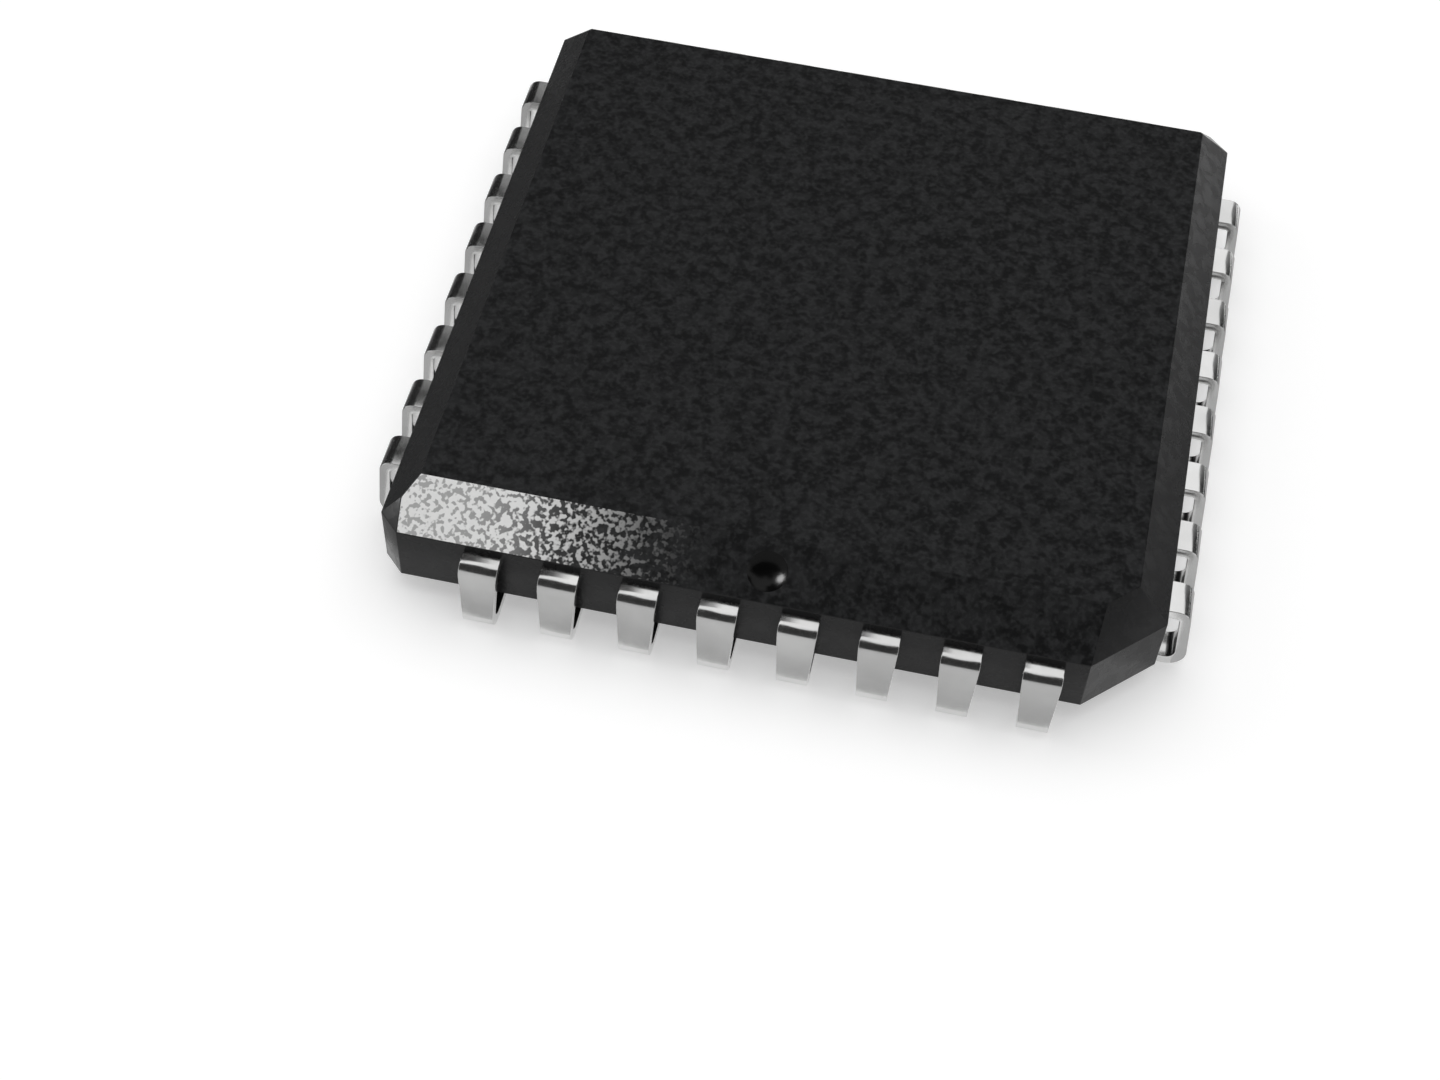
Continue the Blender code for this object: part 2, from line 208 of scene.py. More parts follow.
def mesh_object(name, mesh):
    obj = bpy.data.objects.new(name, mesh)
    bpy.context.scene.collection.objects.link(obj)
    return obj


def bmesh_object(name, bm):
    bmesh.ops.recalc_face_normals(bm, faces=bm.faces)
    mesh = bpy.data.meshes.new(name)
    bm.to_mesh(mesh)
    bm.free()
    return mesh_object(name, mesh)


def settle(obj, helpers=()):
    """Turns what the object's modifiers make into its plain mesh, and removes them and their helpers."""
    graph = bpy.context.evaluated_depsgraph_get()
    mesh = bpy.data.meshes.new_from_object(obj.evaluated_get(graph))
    obj.modifiers.clear()
    obj.data = mesh
    for helper in helpers:
        bpy.data.objects.remove(helper, do_unlink=True)
    return obj


def level_faces(obj, sharp_angle):
    """Keeps flat faces flat beside rounded edges, by normals weighted with the faces' areas."""
    obj.data.shade_smooth()
    obj.data.set_sharp_from_angle(angle=sharp_angle)
    weighted = obj.modifiers.new("Level faces", "WEIGHTED_NORMAL")
    weighted.keep_sharp = True
    weighted.weight = 100
    return settle(obj)


def slice_off(bm, point, normal):
    """Removes what lies beyond the plane, on the side its normal points to, and closes the cut."""
    geometry = bm.verts[:] + bm.edges[:] + bm.faces[:]
    cut = bmesh.ops.bisect_plane(
        bm, geom=geometry, dist=SAME_POINT, plane_co=point, plane_no=normal.normalized(), clear_outer=True
    )
    edges = [item for item in cut["geom_cut"] if isinstance(item, bmesh.types.BMEdge)]
    bmesh.ops.holes_fill(bm, edges=edges)


def prism(name, outline, bottom, top):
    bm = bmesh.new()
    face = bm.faces.new([bm.verts.new((x, y, bottom)) for x, y in outline])
    extruded = bmesh.ops.extrude_face_region(bm, geom=[face])
    raised = [item for item in extruded["geom"] if isinstance(item, bmesh.types.BMVert)]
    bmesh.ops.translate(bm, verts=raised, vec=(0, 0, top - bottom))
    return bmesh_object(name, bm)


# Plain helpers for node trees


def add_node(tree, kind, inputs=(), **settings):
    """A node with its settings and its inputs, each another node's socket or a plain value."""
    node = tree.nodes.new(kind)
    for key, value in settings.items():
        setattr(node, key, value)
    for key, value in dict(inputs).items():
        if isinstance(value, bpy.types.NodeSocket):
            tree.links.new(value, node.inputs[key])
        else:
            node.inputs[key].default_value = value
    return node


def maths(tree, operation, *values):
    return add_node(tree, "ShaderNodeMath", enumerate(values), operation=operation).outputs[0]


def mixed(tree, factor, first, second):
    """A colour between two others."""
    node = add_node(tree, "ShaderNodeMix", {"Factor": factor}, data_type="RGBA")
    for socket, value in zip((node.inputs[6], node.inputs[7]), (first, second)):
        if isinstance(value, bpy.types.NodeSocket):
            tree.links.new(value, socket)
        else:
            socket.default_value = (*value, 1)
    return node.outputs[2]


def ramp(tree, value, low, high, to_low=0.0, to_high=1.0):
    """A value carried smoothly from one range to another."""
    inputs = {"Value": value, "From Min": low, "From Max": high, "To Min": to_low, "To Max": to_high}
    return add_node(tree, "ShaderNodeMapRange", inputs, interpolation_type="SMOOTHSTEP").outputs[0]


def noise(tree, where, scale, detail=2.0, distortion=0.0):
    inputs = {"Vector": where, "Scale": scale, "Detail": detail, "Distortion": distortion}
    return add_node(tree, "ShaderNodeTexNoise", inputs).outputs["Fac"]


def group_tree(name, inputs, outputs):
    """A shader node group with its sockets, and its input and output nodes."""
    tree = bpy.data.node_groups.new(name, "ShaderNodeTree")
    for label, kind, default in inputs:
        socket = tree.interface.new_socket(label, in_out="INPUT", socket_type=f"NodeSocket{kind}")
        if default is not None:
            socket.default_value = default
    for label, kind in outputs:
        tree.interface.new_socket(label, in_out="OUTPUT", socket_type=f"NodeSocket{kind}")
    return tree, tree.nodes.new("NodeGroupInput"), tree.nodes.new("NodeGroupOutput")


def new_material(name, **settings):
    """A Principled material, its tree, its shader and its object coordinates."""
    material = bpy.data.materials.new(name)
    material.use_nodes = True
    tree = material.node_tree
    shader = tree.nodes["Principled BSDF"]
    for key, value in settings.items():
        shader.inputs[key.replace("_", " ")].default_value = value
    where = tree.nodes.new("ShaderNodeTexCoord").outputs["Object"]
    return material, tree, shader, where


def add_group(tree, group, inputs):
    node = tree.nodes.new("ShaderNodeGroup")
    node.node_tree = group
    for key, value in inputs.items():
        if isinstance(value, bpy.types.NodeSocket):
            tree.links.new(value, node.inputs[key])
        else:
            node.inputs[key].default_value = value
    return node


def add_bump(tree, shader, height, strength, distance):
    inputs = {"Height": height, "Strength": strength, "Distance": distance}
    bump = add_node(tree, "ShaderNodeBump", inputs)
    tree.links.new(bump.outputs["Normal"], shader.inputs["Normal"])


# Effects that several finishes share


def moulded_grain_group():
    """Blotches and fine grain of a filled epoxy."""
    tree, inputs, outputs = group_tree(
        "Moulded grain",
        [("Vector", "Vector", None), ("Dark", "Color", None), ("Light", "Color", None),
         ("Blotch Scale", "Float", 1.0), ("Grain Scale", "Float", 1.0), ("Roughness", "Float", 0.5)],
        [("Color", "Color"), ("Roughness", "Float"), ("Height", "Float")],
    )
    where = inputs.outputs["Vector"]
    blotch = noise(tree, where, inputs.outputs["Blotch Scale"], 2.0, 0.3)
    grain = noise(tree, where, inputs.outputs["Grain Scale"], 2.0)
    patch = ramp(tree, blotch, 0.38, 0.64)
    speck = ramp(tree, grain, 0.42, 0.68, 0.0, 0.6)
    tone = maths(tree, "MULTIPLY_ADD", patch, 0.6, speck)
    tint = mixed(tree, tone, inputs.outputs["Dark"], inputs.outputs["Light"])
    rough = maths(tree, "MULTIPLY_ADD", patch, -0.08, inputs.outputs["Roughness"])
    tree.links.new(tint, outputs.inputs["Color"])
    tree.links.new(rough, outputs.inputs["Roughness"])
    tree.links.new(grain, outputs.inputs["Height"])
    return tree


def painted_highlight_group():
    """A painted highlight as a mask: specks that cover a surface at one end and break up and thin out towards
    the other.
    """
    tree, inputs, outputs = group_tree(
        "Painted highlight",
        [("Vector", "Vector", None), ("Start", "Float", 0.0), ("End", "Float", 1.0), ("Scale", "Float", 1.0)],
        [("Mask", "Float")],
    )
    where = inputs.outputs["Vector"]
    scale = inputs.outputs["Scale"]
    # The painted highlight: specks over a grey base at its start, thinning and fading out along x
    across = add_node(tree, "ShaderNodeSeparateXYZ", {"Vector": where}).outputs["X"]
    along = ramp(tree, across, inputs.outputs["Start"], inputs.outputs["End"])
    painted_highlight_speck = noise(tree, where, scale, 1.0)
    drift = noise(tree, where, maths(tree, "MULTIPLY", scale, 0.2), 1.0)
    drift_weight = 0.22
    drifted = maths(tree, "MULTIPLY_ADD", drift, drift_weight, painted_highlight_speck)
    level = maths(tree, "SUBTRACT", drifted, drift_weight / 2)
    threshold = maths(tree, "MULTIPLY_ADD", along, 0.16, 0.43)
    low_edge = maths(tree, "SUBTRACT", threshold, 0.085)
    high_edge = maths(tree, "ADD", threshold, 0.095)
    bright = ramp(tree, level, low_edge, high_edge)
    under = ramp(tree, along, 0.0, 0.5, 0.5, 0.04)
    dimmed = ramp(tree, along, 0.2, 1.0, 1.0, 0.0)
    mask = maths(tree, "MULTIPLY", maths(tree, "MAXIMUM", bright, under), dimmed)
    tree.links.new(mask, outputs.inputs["Mask"])
    return tree


def plating_group():
    """The faint clouding and grain of a plated strip."""
    tree, inputs, outputs = group_tree(
        "Plating",
        [("Vector", "Vector", None), ("Cloud Scale", "Float", 1.0), ("Grain Scale", "Float", 1.0),
         ("Roughness", "Float", 0.2), ("Color", "Color", None)],
        [("Color", "Color"), ("Roughness", "Float"), ("Height", "Float")],
    )
    where = inputs.outputs["Vector"]
    cloud = noise(tree, where, inputs.outputs["Cloud Scale"], 3.0)
    grain = noise(tree, where, inputs.outputs["Grain Scale"], 2.0)
    dulled = add_node(tree, "ShaderNodeHueSaturation", {"Color": inputs.outputs["Color"], "Value": 0.86})
    tint = mixed(tree, ramp(tree, cloud, 0.35, 0.65), dulled.outputs["Color"], inputs.outputs["Color"])
    rough = maths(tree, "MULTIPLY_ADD", ramp(tree, grain, 0.35, 0.7), 0.05, inputs.outputs["Roughness"])
    tree.links.new(tint, outputs.inputs["Color"])
    tree.links.new(rough, outputs.inputs["Roughness"])
    tree.links.new(grain, outputs.inputs["Height"])
    return tree


# The moulded body


def bevel_normal(moulding):
    slope_height = BODY_HIGH.z - BODY_LOW.z - moulding.wall_height
    return Vector((0, -slope_height, moulding.bevel_run)).normalized()


def body_blank(moulding):
    """The body as a block cut by its sloping sides and corners, with its edges rounded."""
    width = BODY_HIGH.x - BODY_LOW.x
    height = BODY_HIGH.z - BODY_LOW.z
    slope_height = height - moulding.wall_height
    parting = BODY_LOW.z + moulding.wall_height
    bm = bmesh.new()
    bmesh.ops.create_cube(bm, size=1)
    bmesh.ops.scale(bm, vec=(width, width, height), verts=bm.verts)
    bmesh.ops.translate(bm, vec=(0, 0, BODY_LOW.z + height / 2), verts=bm.verts)

    def cut_side(angle, reach, run):
        outward = Vector((math.cos(angle), math.sin(angle), 0))
        edge = outward * reach + Vector((0, 0, parting))
        slice_off(bm, edge, outward * moulding.wall_height - Vector((0, 0, moulding.wall_draft)))
        slice_off(bm, edge, outward * slope_height + Vector((0, 0, run)))

    front = 3 * math.pi / 2
    for side in range(SIDES):
        angle = front + side * math.pi / 2
        run = moulding.slope_run if side else moulding.bevel_run
        cut_side(angle, width / 2, run)
    for side in range(SIDES):
        cut = moulding.small_cut if side else moulding.large_cut
        cut_side(front + (side + 0.5) * math.pi / 2, (width - cut) / math.sqrt(2), moulding.slope_run)
    bmesh.ops.remove_doubles(bm, verts=bm.verts, dist=SAME_POINT)
    bmesh.ops.dissolve_limit(bm, angle_limit=FLAT_ANGLE, verts=bm.verts, edges=bm.edges)
    bmesh.ops.bevel(
        bm, geom=bm.edges[:], offset=moulding.edge_radius, offset_type="OFFSET",
        segments=ROUNDING_STEPS, profile=0.5, affect="EDGES", clamp_overlap=True,
    )
    return bmesh_object("moulded_body", bm)


def dimple_ball(moulding):
    """The ball that sinks the dimple: its centre, its radius and its object."""
    rim = moulding.dimple_diameter / 2
    radius = (rim**2 + moulding.dimple_depth**2) / (2 * moulding.dimple_depth)
    normal = bevel_normal(moulding)
    slope_height = BODY_HIGH.z - BODY_LOW.z - moulding.wall_height
    middle = Vector((0, BODY_LOW.y + moulding.bevel_run / 2, BODY_HIGH.z - slope_height / 2))
    centre = middle + normal * (radius - moulding.dimple_depth)
    bm = bmesh.new()
    turn = normal.to_track_quat("Z", "Y").to_matrix().to_4x4()
    place = Matrix.Translation(centre) @ turn
    bmesh.ops.create_uvsphere(
        bm, u_segments=BALL_STEPS, v_segments=BALL_STEPS, radius=radius, matrix=place
    )
    return centre, radius, bmesh_object("dimple_ball", bm)


def pad_outline(moulding, margin):
    """The outline of the pad's face, moved out by a margin on its sides and on its cut corner alike."""
    half = (PAD_HIGH.x - PAD_LOW.x) / 2 - moulding.pad_rim + margin
    cut = moulding.pad_cut + margin * (2 - math.sqrt(2))
    return [(cut - half, -half), (half, -half), (half, half), (-half, half), (-half, cut - half)]


def square(half):
    return [(-half, -half), (half, -half), (half, half), (-half, half)]


def pocket_cutters(moulding):
    """The opening for the pad's face, the seat of its rim and the room for the die."""
    gap = moulding.clearance
    roof = PAD_HIGH.z + gap
    rim_bottom = PAD_HIGH.z - moulding.pad_rim - gap
    die_half = (DIE_HIGH.x - DIE_LOW.x) / 2 + gap
    return [
        prism("pad_opening", pad_outline(moulding, gap), PAD_LOW.z - gap, roof),
        prism("pad_rim_seat", pad_outline(moulding, moulding.pad_rim + gap), rim_bottom, roof),
        prism("die_room", square(die_half), PAD_HIGH.z, DIE_HIGH.z + gap),
    ]


def grained_plastic(name, grain, dark, light, roughness, bump, specular):
    """A grained plastic: its material, tree, shader and grain node."""
    material, tree, shader, where = new_material(name, Specular_IOR_Level=specular)
    inputs = {
        "Vector": where, "Dark": (*dark, 1), "Light": (*light, 1), "Blotch Scale": BLOTCH_SCALE,
        "Grain Scale": GRAIN_SCALE, "Roughness": roughness,
    }
    node = add_group(tree, grain, inputs)
    tree.links.new(node.outputs["Color"], shader.inputs["Base Color"])
    tree.links.new(node.outputs["Roughness"], shader.inputs["Roughness"])
    add_bump(tree, shader, node.outputs["Height"], bump, GRAIN_DEPTH)
    return material, tree, shader, node


def plastic_with_painted_highlight(moulding, grain, painted_highlight_tree):
    """The pin 1 bevel, with a speckled highlight painted into its colour at its far end from the large corner
    cut.
    """
    material, tree, shader, plain = grained_plastic(
        "Epoxy with painted highlight", grain, moulding.dark, moulding.light, roughness=0.62, bump=0.5, specular=0.06
    )
    where = tree.nodes["Texture Coordinate"].outputs["Object"]
    inputs = {"Vector": where, "Start": PAINTED_HIGHLIGHT_START, "End": PAINTED_HIGHLIGHT_END, "Scale": HIGHLIGHT_SPECK_SCALE}
    node = add_group(tree, painted_highlight_tree, inputs)
    # Paints the speckled highlight into the base colour
    tint = mixed(tree, node.outputs["Mask"], plain.outputs["Color"], moulding.painted_highlight_speck)
    tree.links.new(tint, shader.inputs["Base Color"])
    return material


def body_materials(moulding):
    """The body's finishes, in the order of paint_faces."""
    grain = moulded_grain_group()
    painted_highlight_epoxy = plastic_with_painted_highlight(moulding, grain, painted_highlight_group())
    side_light = [value * 1.25 for value in moulding.side]
    dimple_light = [value * 1.6 for value in moulding.dimple]
    matte = grained_plastic(
        "Matte epoxy", grain, moulding.dark, moulding.light, roughness=0.62, bump=0.6, specular=0.06
    )[0]
    satin = grained_plastic(
        "Satin epoxy", grain, moulding.side, side_light, roughness=0.3, bump=0.06, specular=0.2
    )[0]
    # Dimple finish: smoother and glossier, with a darker colour that is painted shade of the recess
    dimple = grained_plastic(
        "Dimple epoxy with painted shade", grain, moulding.dimple, dimple_light, roughness=0.26, bump=0.1, specular=0.17
    )[0]
    return [matte, satin, painted_highlight_epoxy, dimple]


def paint_faces(mesh, moulding, centre, radius):
    """Gives each face its finish: matte top and underside, satin sides, the bevel with its painted highlight,
    the smooth dimple with painted shade.
    """
    matte, satin, painted_highlight_epoxy, dimple = range(4)
    slope = bevel_normal(moulding)
    on_ball = 0.01 * radius
    on_bevel = 0.9999
    level = 0.75
    for face in mesh.polygons:
        if abs((face.center - centre).length - radius) < on_ball:
            face.material_index = dimple
        elif face.normal.dot(slope) > on_bevel:
            face.material_index = painted_highlight_epoxy
        else:
            face.material_index = matte if abs(face.normal.z) > level else satin


class ChipMakeBody(bpy.types.Operator):
    """Make the moulded body with its rounded edges, pin 1 bevel and dimple"""

    bl_idname = "chip.make_body"
    bl_label = "Moulded Body"

    def execute(self, context):
        moulding = context.scene.chip_moulding
        body = body_blank(moulding)
        centre, radius, ball = dimple_ball(moulding)
        cutters = [*pocket_cutters(moulding), ball]
        for cutter in cutters:
            cut = body.modifiers.new(cutter.name, "BOOLEAN")
            cut.operation = "DIFFERENCE"
            cut.solver = "EXACT"
            cut.object = cutter
        settle(body, cutters)
        level_faces(body, BODY_SHARP_ANGLE)
        body.data.materials.clear()
        for material in body_materials(moulding):
            body.data.materials.append(material)
        paint_faces(body.data, moulding, centre, radius)
        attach(body, ROOT)
        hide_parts("package_body")
        return {"FINISHED"}


# The leads


def lead_corners(leads):
    """The corners of a lead's centre line, from the wall to the tip, and the low and high end of its leg."""
    half = leads.thickness / 2
    heel = leads.heel_radius + half
    tip = leads.tip_radius + half
    reach = CAD_BOX[1].x
    centre = Vector((reach - half - heel, half + heel))
    touch = centre + heel * Vector((math.cos(leads.lean), math.sin(leads.lean)))
    slope = math.tan(leads.lean)
    high = leads.top - half
    shoulder = Vector((touch.x - (high - touch.y) * slope, high))
    heel_corner = Vector((touch.x + (touch.y - half) * slope, half))
    tip_lead = tip * math.tan(leads.curl / 2)
    tip_corner = Vector((centre.x - leads.foot_flat - tip_lead, half))
    curled = Vector((-math.cos(leads.curl), math.sin(leads.curl)))
    end = tip_corner + (tip_lead + leads.tip_straight) * curled
    start = Vector((BODY_HIGH.x - leads.buried, high))
    return [start, shoulder, heel_corner, tip_corner, end], (touch.y, high)


def chosen(tree, index, kind, values):
    """The value that belongs to a point's index. None leaves the default."""
    switch = add_node(tree, "GeometryNodeIndexSwitch", data_type=kind)
    while len(switch.index_switch_items) < len(values):
        switch.index_switch_items.new()
    tree.links.new(index, switch.inputs[0])
    for socket, value in zip(switch.inputs[1:], values):
        if value is not None:
            tree.links.new(value, socket)
    return switch.outputs[0]


def bent_strip(tree, given, index):
    """A strip with rounded long edges, bent along a lead's centre line."""
    line = add_node(tree, "GeometryNodeMeshLine", {"Count": len(LEAD_CORNERS)})
    corners = chosen(tree, index, "VECTOR", [given[name] for name in LEAD_CORNERS])
    placed = add_node(tree, "GeometryNodeSetPosition", {"Geometry": line.outputs[0], "Position": corners})
    curve = add_node(tree, "GeometryNodeMeshToCurve", {"Mesh": placed.outputs[0]})
    radii = chosen(tree, index, "FLOAT", [None, *[given[name] for name in LEAD_RADII], None])
    path = add_node(
        tree, "GeometryNodeFilletCurve",
        {"Curve": curve.outputs[0], "Radius": radii, "Count": BEND_STEPS}, mode="POLY",
    )
    section = add_node(
        tree, "GeometryNodeCurvePrimitiveQuadrilateral",
        {"Width": given["Shoulder Width"], "Height": given["Thickness"]},
    )
    rounded = add_node(
        tree, "GeometryNodeFilletCurve",
        {"Curve": section.outputs[0], "Radius": given["Edge Radius"], "Count": STRIP_EDGE_STEPS}, mode="POLY",
    )
    strip = add_node(
        tree, "GeometryNodeCurveToMesh",
        {"Curve": path.outputs[0], "Profile Curve": rounded.outputs[0], "Fill Caps": True},
    )
    return strip.outputs[0]


def tapered(tree, given, strip):
    """The strip narrowed down its leg, from the width of its shoulder to that of its foot."""
    position = tree.nodes.new("GeometryNodeInputPosition").outputs[0]
    parts = add_node(tree, "ShaderNodeSeparateXYZ", {"Vector": position}).outputs
    foot_share = maths(tree, "DIVIDE", given["Foot Width"], given["Shoulder Width"])
    narrowing = add_node(
        tree, "ShaderNodeMapRange",
        {"Value": parts["Z"], "From Min": given["Taper Low"], "From Max": given["Taper High"],
         "To Min": foot_share, "To Max": 1.0},
    ).outputs[0]
    across = maths(tree, "MULTIPLY", parts["Y"], narrowing)
    moved = add_node(tree, "ShaderNodeCombineXYZ", {"X": parts["X"], "Y": across, "Z": parts["Z"]})
    narrowed = add_node(
        tree, "GeometryNodeSetPosition", {"Geometry": strip, "Position": moved.outputs[0]}
    )
    return narrowed.outputs[0]


def set_round(tree, given, index, lead):
    """Copies of a lead in a row along one side, and that row on all four sides."""
    step = add_node(tree, "ShaderNodeCombineXYZ", {"Y": given["Pitch"]}).outputs[0]
    span = maths(tree, "MULTIPLY", maths(tree, "SUBTRACT", given["Per Side"], 1.0), given["Pitch"])
    first = add_node(tree, "ShaderNodeCombineXYZ", {"Y": maths(tree, "MULTIPLY", span, -0.5)}).outputs[0]
    row = add_node(
        tree, "GeometryNodeMeshLine", {"Count": given["Per Side"], "Start Location": first, "Offset": step},
        mode="OFFSET",
    )
    side = add_node(tree, "GeometryNodeInstanceOnPoints", {"Points": row.outputs[0], "Instance": lead})
    middle = add_node(tree, "GeometryNodePoints", {"Count": given["Sides"]})
    quarter = maths(tree, "MULTIPLY", index, math.pi / 2)
    angles = add_node(tree, "ShaderNodeCombineXYZ", {"Z": quarter}).outputs[0]
    turned = add_node(tree, "FunctionNodeEulerToRotation", {"Euler": angles}).outputs[0]
    ring = add_node(
        tree, "GeometryNodeInstanceOnPoints",
        {"Points": middle.outputs[0], "Instance": side.outputs[0], "Rotation": turned},
    )
    return ring.outputs[0]


def lead_tree():
    """Geometry nodes that bend one strip and set copies of it along all four sides."""
    tree = bpy.data.node_groups.new("J leads", "GeometryNodeTree")
    sockets = [("Geometry", "Geometry")]
    sockets += [(name, "Vector") for name in LEAD_CORNERS]
    sockets += [(name, "Float") for name in (*LEAD_RADII, *LEAD_LENGTHS)]
    sockets += [("Per Side", "Int"), ("Sides", "Int"), ("Material", "Material")]
    for name, kind in sockets:
        tree.interface.new_socket(name, in_out="INPUT", socket_type=f"NodeSocket{kind}")
    tree.interface.new_socket("Geometry", in_out="OUTPUT", socket_type="NodeSocketGeometry")
    given = tree.nodes.new("NodeGroupInput").outputs
    index = tree.nodes.new("GeometryNodeInputIndex").outputs[0]
    lead = tapered(tree, given, bent_strip(tree, given, index))
    ring = set_round(tree, given, index, lead)
    real = add_node(tree, "GeometryNodeRealizeInstances", {"Geometry": ring})
    plated = add_node(
        tree, "GeometryNodeSetMaterial", {"Geometry": real.outputs[0], "Material": given["Material"]}
    )
    tree.links.new(plated.outputs[0], tree.nodes.new("NodeGroupOutput").inputs[0])
    return tree


def set_inputs(modifier, values):
    """Sets a Geometry Nodes modifier's inputs by their sockets' identifiers."""
    for socket in modifier.node_group.interface.items_tree:
        if socket.in_out == "INPUT" and socket.name in values:
            modifier[socket.identifier] = values[socket.name]


def plated_metal(name, group, tint, roughness, bump):
    material, tree, shader, where = new_material(name, Metallic=1.0)
    inputs = {
        "Vector": where, "Cloud Scale": PLATING_CLOUD_SCALE, "Grain Scale": PLATING_GRAIN_SCALE,
        "Roughness": roughness, "Color": (*tint, 1),
    }
    node = add_group(tree, group, inputs)
    tree.links.new(node.outputs["Color"], shader.inputs["Base Color"])
    tree.links.new(node.outputs["Roughness"], shader.inputs["Roughness"])
    add_bump(tree, shader, node.outputs["Height"], bump, PLATING_DEPTH)
    return material


class ChipMakeLeads(bpy.types.Operator):
    """Bend the plated leads and set them along the four sides"""

    bl_idname = "chip.make_leads"
    bl_label = "Plated Leads"

    def execute(self, context):
        leads = context.scene.chip_leads
        half = leads.thickness / 2
        corners, (low, high) = lead_corners(leads)
        piece = mesh_object("plated_leads", bpy.data.meshes.new("plated_leads"))
        nodes = piece.modifiers.new("J leads", "NODES")
        nodes.node_group = lead_tree()
        plating = plated_metal("Tin plating", plating_group(), leads.plating, leads.roughness, bump=0.12)
        values = {name: (place.x, 0.0, place.y) for name, place in zip(LEAD_CORNERS, corners)}
        values |= {
            "Shoulder Radius": leads.shoulder_radius + half, "Heel Radius": leads.heel_radius + half,
            "Tip Radius": leads.tip_radius + half, "Thickness": leads.thickness,
            "Shoulder Width": leads.shoulder_width, "Foot Width": leads.foot_width,
            "Edge Radius": leads.edge_radius, "Taper Low": low, "Taper High": high, "Pitch": leads.pitch,
            "Per Side": leads.per_side, "Sides": SIDES, "Material": plating,
        }
        set_inputs(nodes, values)
        settle(piece)
        level_faces(piece, LEAD_SHARP_ANGLE)
        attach(piece, ROOT)
        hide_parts(*LEAD_NODES)
        return {"FINISHED"}


# The pad and what is buried


def repaint(node, material):
    """Gives a solid that stays as it is a finish of its own."""
    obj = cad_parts[node]
    obj.data.materials.clear()
    obj.data.materials.append(material)


class ChipFinishPad(bpy.types.Operator):
    """Finish the polished pad in the underside"""

    bl_idname = "chip.finish_pad"
    bl_label = "Polished Pad"

    def execute(self, context):
        inside = context.scene.chip_inside
        group = bpy.data.node_groups["Plating"]
        repaint("die_pad", plated_metal("Polished pad", group, inside.polish, inside.roughness, bump=0.1))
        return {"FINISHED"}


class ChipFinishDie(bpy.types.Operator):
    """Finish the silicon and its adhesive, which the moulding covers"""

    bl_idname = "chip.finish_die"
    bl_label = "Die and Adhesive"

    def execute(self, context):
        inside = context.scene.chip_inside
        grain = bpy.data.node_groups["Moulded grain"]
        silicon = grained_plastic(
            "Silicon", grain, inside.silicon_dark, inside.silicon_light,
            roughness=0.2, bump=0.05, specular=0.7,
        )[0]
        glue = grained_plastic(
            "Silver adhesive", grain, inside.glue_dark, inside.glue_light,
            roughness=0.5, bump=0.4, specular=0.5,
        )[0]
        repaint("die", silicon)
        repaint("die_attach", glue)
        return {"FINISHED"}


# The stage


def background_share(tree):
    """1 for rays from the camera and for mirrored and refracted ones, which see the pale background."""
    path = tree.nodes.new("ShaderNodeLightPath").outputs
    seen = maths(tree, "MAXIMUM", path["Is Camera Ray"], path["Is Glossy Ray"])
    return maths(tree, "MAXIMUM", seen, path["Is Transmission Ray"])


def make_world(stage):
    world = bpy.data.worlds.new("Studio")
    bpy.context.scene.world = world
    world.use_nodes = True
    tree = world.node_tree
    tree.nodes.clear()
    ambient = add_node(tree, "ShaderNodeBackground", {"Strength": stage.ambient, "Color": WHITE})
    white = add_node(tree, "ShaderNodeBackground", {"Strength": 1.0, "Color": WHITE})
    both = add_node(
        tree, "ShaderNodeMixShader", {0: background_share(tree), 1: ambient.outputs[0], 2: white.outputs[0]}
    )
    tree.links.new(both.outputs[0], tree.nodes.new("ShaderNodeOutputWorld").inputs["Surface"])


def make_floor(stage):
    """A pale floor, lifted to white for what sees the background, and most far from the chip."""
    bm = bmesh.new()
    bmesh.ops.create_grid(bm, x_segments=1, y_segments=1, size=1.0)
    floor = bmesh_object("floor", bm)
    material, tree, shader, where = new_material("Pale floor", Roughness=0.9, Specular_IOR_Level=0.0)
    shader.inputs["Base Color"].default_value = (*stage.floor, 1)
    shader.inputs["Emission Color"].default_value = WHITE
    distance = add_node(tree, "ShaderNodeVectorMath", {0: where}, operation="LENGTH").outputs["Value"]
    near, far = 0.03, 0.3
    level = ramp(tree, distance, near, far, 0.38, 0.64)
    lift = maths(tree, "MULTIPLY", background_share(tree), level)
    tree.links.new(lift, shader.inputs["Emission Strength"])
    floor.data.materials.append(material)


def add_lamp(name, place, size, radiance, shape="RECTANGLE"):
    """A flat lamp that faces the chip, set by how bright its face is."""
    lamp = bpy.data.lights.new(name, "AREA")
    lamp.shape = shape
    lamp.size, lamp.size_y = size
    lamp.energy = math.pi * size[0] * size[1] * radiance
    obj = mesh_object(name, lamp)
    obj.location = place
    obj.rotation_euler = (-Vector(place)).to_track_quat("-Z", "Y").to_euler()
    obj.visible_camera = False
    return obj


def sky_card(azimuths, elevations):
    """A card bent round the chip, from its ranges of azimuth and elevation in degrees."""

    def place(u, v):
        azimuth = math.radians(azimuths[0] + u * (azimuths[1] - azimuths[0]))
        elevation = math.radians(elevations[0] + v * (elevations[1] - elevations[0]))
        level = CARD_DISTANCE * math.cos(elevation)
        return (level * math.cos(azimuth), level * math.sin(azimuth), CARD_DISTANCE * math.sin(elevation))

    return place


def floor_card(x_range, y_range):
    """A card that lies just over the floor, from its ranges of x and y."""

    def place(u, v):
        x = x_range[0] + v * (x_range[1] - x_range[0])
        y = y_range[0] + u * (y_range[1] - y_range[0])
        return (x, y, CARD_LIFT)

    return place


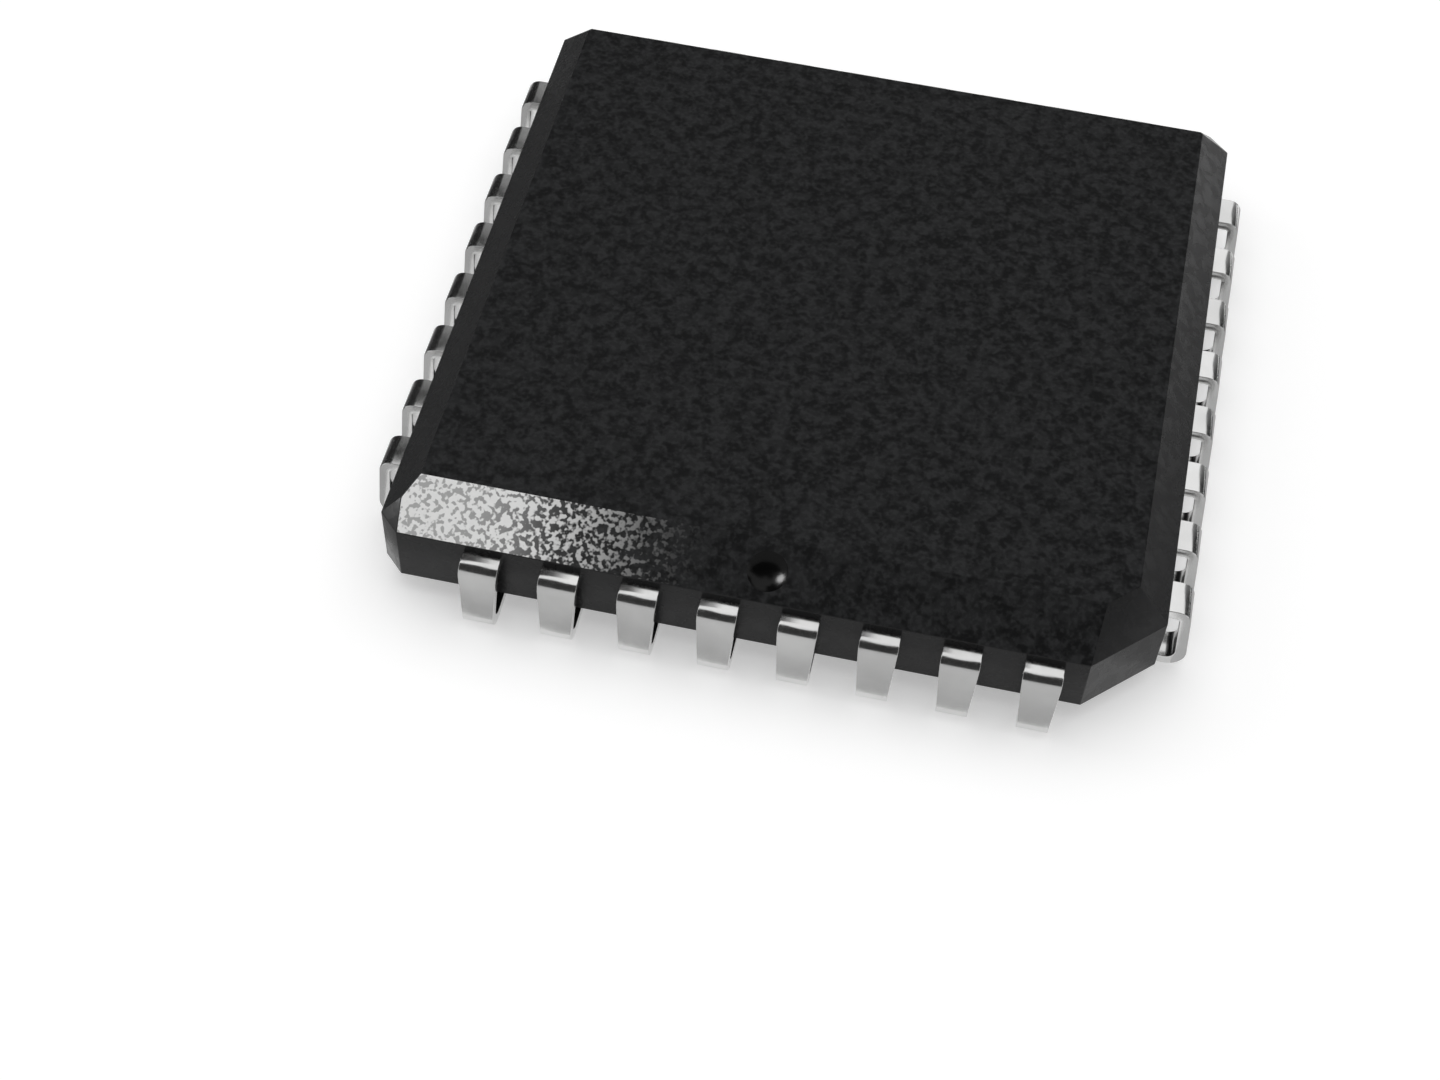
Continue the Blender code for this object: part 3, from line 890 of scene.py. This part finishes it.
def add_card(name, place, glow, end_glow=None, span=(0.0, 1.0)):
    """A card that only mirrored rays see. Given an end glow, it turns to it over a span of azimuth or y."""
    bm = bmesh.new()
    bmesh.ops.create_grid(bm, x_segments=CARD_STEPS, y_segments=CARD_STEPS, size=0.5)
    layer = bm.verts.layers.float.new("Along")
    for vert in bm.verts:
        u, v = vert.co.x + 0.5, vert.co.y + 0.5
        vert[layer] = u
        vert.co = place(u, v)
    card = bmesh_object(name, bm)
    material, tree, shader, _ = new_material(name, Roughness=1.0, Specular_IOR_Level=0.0)
    shader.inputs["Base Color"].default_value = BLACK
    shader.inputs["Emission Color"].default_value = WHITE
    shader.inputs["Emission Strength"].default_value = glow
    if end_glow is not None:
        along = add_node(tree, "ShaderNodeAttribute", attribute_name="Along").outputs["Fac"]
        tree.links.new(ramp(tree, along, *span, glow, end_glow), shader.inputs["Emission Strength"])
    card.data.materials.append(material)
    card.visible_camera = card.visible_diffuse = card.visible_shadow = False


def set_cards():
    """Cards for what the plating and the smooth slopes mirror at the front, the left and the right."""
    far = CARD_REACH
    add_card("Front card", sky_card((190, 358), (22, 79)), 0.035)
    add_card("Front grey card", sky_card((190, 345), (0, 22)), 0.58)
    add_card("Front floor card", floor_card((-far, far), (-6.95 * MM, -far)), 0.46, 0.6, (0.0, 0.012))
    add_card("Left card", sky_card((103, 165), (0, 60)), 0.25, 0.02, (0.14, 0.2))
    add_card("Left floor card", floor_card((-far, -8.6 * MM), (-6.5 * MM, far)), 0.07)
    add_card("Left near card", floor_card((-8.6 * MM, -6.66 * MM), (-7 * MM, 7 * MM)), 0.45)
    add_card("Right near card", floor_card((6.45 * MM, 10.4 * MM), (-7 * MM, 7 * MM)), 0.5)
    add_card("Right card", sky_card((20, 62), (0, 36)), 0.02, 0.2, (0.3, 0.95))
    add_card("Right floor card", floor_card((10.4 * MM, far), (-6.5 * MM, far)), 0.02, 2.0, (0.22, 0.33))


def set_lamps(stage):
    """Two soft lamps that nothing mirrors, and a small one that makes glints on the moulding alone."""
    add_lamp("Overhead lamp", (0.0, 0.03, 0.15), (0.2, 0.2), stage.key).visible_glossy = False
    add_lamp("Left lamp", (-0.15, 0.02, 0.1), (0.07, 0.07), stage.side).visible_glossy = False
    spark = add_lamp("Spark lamp", (-0.084, -0.001, 0.055), (0.048, 0.057), stage.spark, "ELLIPSE")
    spark.visible_diffuse = False
    lit = bpy.data.collections.new("Lit by the spark")
    lit.objects.link(bpy.data.objects["moulded_body"])
    spark.light_linking.receiver_collection = lit


def make_camera(stage):
    camera = bpy.data.cameras.new("Camera")
    camera.sensor_width = 36.0
    camera.lens = stage.focal
    camera.clip_start, camera.clip_end = 0.001, 10.0
    obj = mesh_object("Camera", camera)
    forward = Vector(CAMERA_FORWARD).normalized()
    right = Vector(CAMERA_RIGHT)
    right = (right - right.dot(forward) * forward).normalized()
    up = right.cross(forward)
    turn = Matrix((right, up, -forward)).transposed().to_4x4()
    obj.matrix_world = Matrix.Translation(CAMERA_PLACE) @ turn
    bpy.context.scene.camera = obj


class ChipSetStage(bpy.types.Operator):
    """Set the floor, the soft lamps, the cards and the camera"""

    bl_idname = "chip.set_stage"
    bl_label = "Stage"

    def execute(self, context):
        stage = context.scene.chip_stage
        context.scene.view_settings.view_transform = "Standard"
        make_world(stage)
        make_floor(stage)
        set_lamps(stage)
        set_cards()
        make_camera(stage)
        return {"FINISHED"}


class ChipPanel(bpy.types.Panel):
    """Lists the pieces of the chip"""

    bl_idname = "VIEW3D_PT_chip"
    bl_label = "Chip"
    bl_space_type = "VIEW_3D"
    bl_region_type = "UI"
    bl_category = "Chip"

    def draw(self, context):
        for operator in OPERATORS:
            self.layout.operator(operator.bl_idname)


GROUPS = {
    "chip_moulding": ChipMoulding,
    "chip_leads": ChipLeads,
    "chip_inside": ChipInside,
    "chip_stage": ChipStage,
}
OPERATORS = (ChipMakeBody, ChipMakeLeads, ChipFinishPad, ChipFinishDie, ChipSetStage)
CLASSES = (*GROUPS.values(), *OPERATORS, ChipPanel)


def register():
    for cls in CLASSES:
        bpy.utils.register_class(cls)
    for name, group in GROUPS.items():
        setattr(bpy.types.Scene, name, PointerProperty(type=group))


def unregister():
    for name in GROUPS:
        delattr(bpy.types.Scene, name)
    for cls in reversed(CLASSES):
        bpy.utils.unregister_class(cls)


def main():
    register()
    bpy.ops.chip.make_body()
    bpy.ops.chip.make_leads()
    bpy.ops.chip.finish_pad()
    bpy.ops.chip.finish_die()
    bpy.ops.chip.set_stage()


if __name__ == "__main__":
    main()
